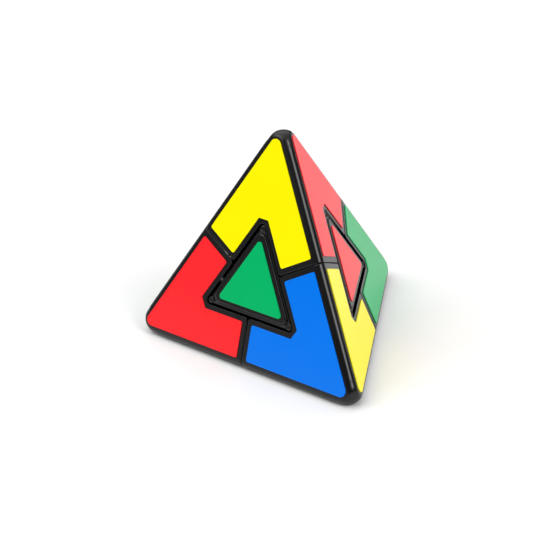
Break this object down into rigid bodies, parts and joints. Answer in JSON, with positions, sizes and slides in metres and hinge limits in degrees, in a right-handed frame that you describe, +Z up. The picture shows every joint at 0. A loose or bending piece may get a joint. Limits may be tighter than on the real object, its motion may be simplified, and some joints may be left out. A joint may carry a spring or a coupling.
{
  "type": "pyramid twisty puzzle",
  "caption": "Black pyramid twisty puzzle with coloured labels, whose corners and face pieces turn about the corner axes on a sprung ball core.",
  "frame": {"origin": "centre of the face that the puzzle rests on, in the plane of its labels", "axes": "+Z up towards the top point; the front face looks along -Y and the back corner lies towards +Y; +X is to the right seen from the front"},
  "size_m": [0.08, 0.0707, 0.0667],
  "materials": {
    "black_plastic": "glossy black moulded plastic",
    "inner_plastic": "satin black moulded plastic",
    "bright_steel": "bright zinc-plated steel",
    "yellow_label": "glossy yellow label",
    "red_label": "glossy red label",
    "blue_label": "glossy blue label",
    "green_label": "glossy green label"
  },
  "bodies": {
    "core": {"core_ball": "inner_plastic", "screw_top": "bright_steel", "spring_top": "bright_steel", "washer_top": "bright_steel", "screw_left": "bright_steel", "spring_left": "bright_steel", "washer_left": "bright_steel", "screw_right": "bright_steel", "spring_right": "bright_steel", "washer_right": "bright_steel", "screw_back": "bright_steel", "spring_back": "bright_steel", "washer_back": "bright_steel", "corner_shell_back": "black_plastic", "corner_hub_back": "inner_plastic", "label_bottom_back": "red_label", "label_right_back": "green_label", "label_left_back": "yellow_label"},
    "top_corner": {"corner_shell_top": "black_plastic", "corner_hub_top": "inner_plastic", "label_right_top": "red_label", "label_left_top": "blue_label", "label_front_top": "yellow_label"},
    "right_corner": {"corner_shell_right": "black_plastic", "corner_hub_right": "inner_plastic", "label_bottom_right": "green_label", "label_right_right": "yellow_label", "label_front_right": "blue_label"},
    "left_corner": {"corner_shell_left": "black_plastic", "corner_hub_left": "inner_plastic", "label_bottom_left": "blue_label", "label_left_left": "green_label", "label_front_left": "red_label"},
    "bottom_piece": {"face_cap_bottom": "black_plastic", "face_foot_bottom": "inner_plastic", "label_bottom_centre": "blue_label"},
    "right_piece": {"face_cap_right": "black_plastic", "face_foot_right": "inner_plastic", "label_right_centre": "red_label"},
    "left_piece": {"face_cap_left": "black_plastic", "face_foot_left": "inner_plastic", "label_left_centre": "yellow_label"},
    "front_piece": {"face_cap_front": "black_plastic", "face_foot_front": "inner_plastic", "label_front_centre": "green_label"}
  },
  "joints": [
    {"name": "top_turn", "type": "hinge", "parent": "core", "child": "top_corner", "pos_m": [0, 0, 0.01837], "axis": [0, 0, 1], "continuous": true},
    {"name": "right_turn", "type": "hinge", "parent": "core", "child": "right_corner", "pos_m": [0, 0, 0.01837], "axis": [0.8165, -0.4714, -0.3333], "range_deg": [-360, 360]},
    {"name": "left_turn", "type": "hinge", "parent": "core", "child": "left_corner", "pos_m": [0, 0, 0.01837], "axis": [-0.8165, -0.4714, -0.3333], "range_deg": [-360, 360]},
    {"name": "right_piece_with_right_corner", "type": "hinge", "parent": "top_corner", "child": "right_piece", "pos_m": [0, 0, 0.01837], "axis": [0.8165, -0.4714, -0.3333], "range_deg": [-360, 360]},
    {"name": "front_piece_with_left_corner", "type": "hinge", "parent": "right_piece", "child": "front_piece", "pos_m": [0, 0, 0.01837], "axis": [-0.8165, -0.4714, -0.3333], "range_deg": [-360, 360]},
    {"name": "left_piece_with_left_corner", "type": "hinge", "parent": "top_corner", "child": "left_piece", "pos_m": [0, 0, 0.01837], "axis": [-0.8165, -0.4714, -0.3333], "range_deg": [-360, 360]},
    {"name": "bottom_piece_with_left_corner", "type": "hinge", "parent": "right_corner", "child": "bottom_piece", "pos_m": [0, 0, 0.01837], "axis": [-0.8165, -0.4714, -0.3333], "range_deg": [-360, 360]}
  ],
  "couplings": [
    {"joint": "right_piece_with_right_corner", "follows": "right_turn", "ratio": 1},
    {"joint": "front_piece_with_left_corner", "follows": "left_turn", "ratio": 1},
    {"joint": "left_piece_with_left_corner", "follows": "left_turn", "ratio": 1},
    {"joint": "bottom_piece_with_left_corner", "follows": "left_turn", "ratio": 1}
  ]
}
